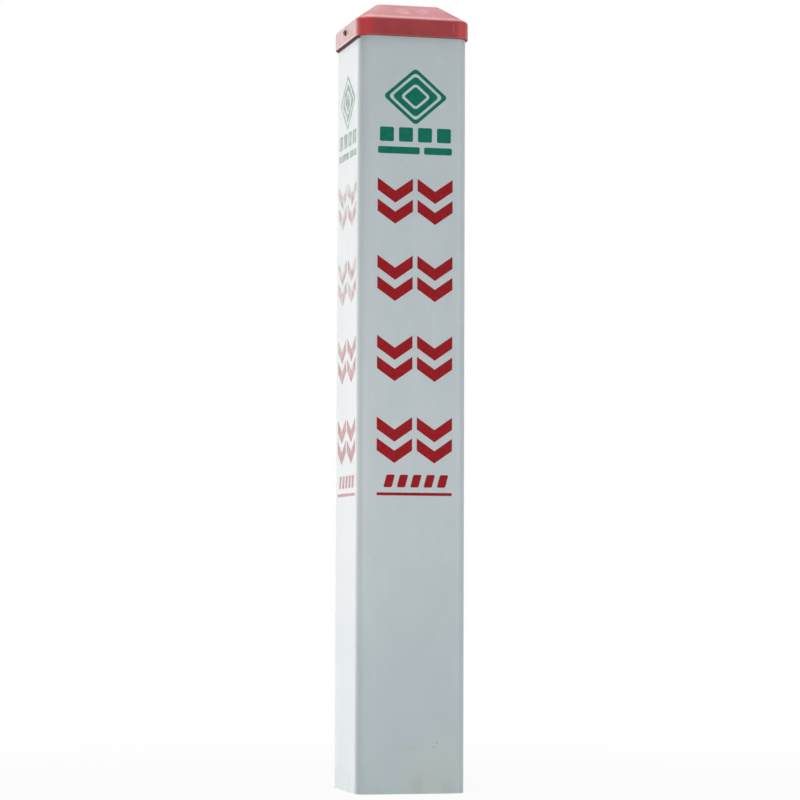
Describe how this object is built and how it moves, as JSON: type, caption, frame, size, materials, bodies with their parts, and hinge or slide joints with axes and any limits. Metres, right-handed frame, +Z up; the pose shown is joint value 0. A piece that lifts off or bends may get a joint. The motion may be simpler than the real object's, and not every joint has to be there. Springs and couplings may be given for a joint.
{
  "type": "utility marker post",
  "caption": "Square hollow plastic marker post with rounded corners and a screwed-on sloped cap, for marking buried lines.",
  "frame": {"origin": "middle of the post's foot, on the surface that it stands on", "axes": "+Z up along the post, -Y towards the front, +X to the right seen from the front"},
  "size_m": [0.1632, 0.1572, 1.0675],
  "materials": {
    "post_white": "satin white extruded plastic, faintly mottled",
    "cap_red": "satin red moulded plastic",
    "screw_steel": "dark weathered steel",
    "print_green": "green screen-printed ink",
    "print_red": "red screen-printed ink"
  },
  "bodies": {
    "root": {"post_tube": "post_white", "top_cap": "cap_red", "cap_screws": "screw_steel"}
  },
  "joints": []
}
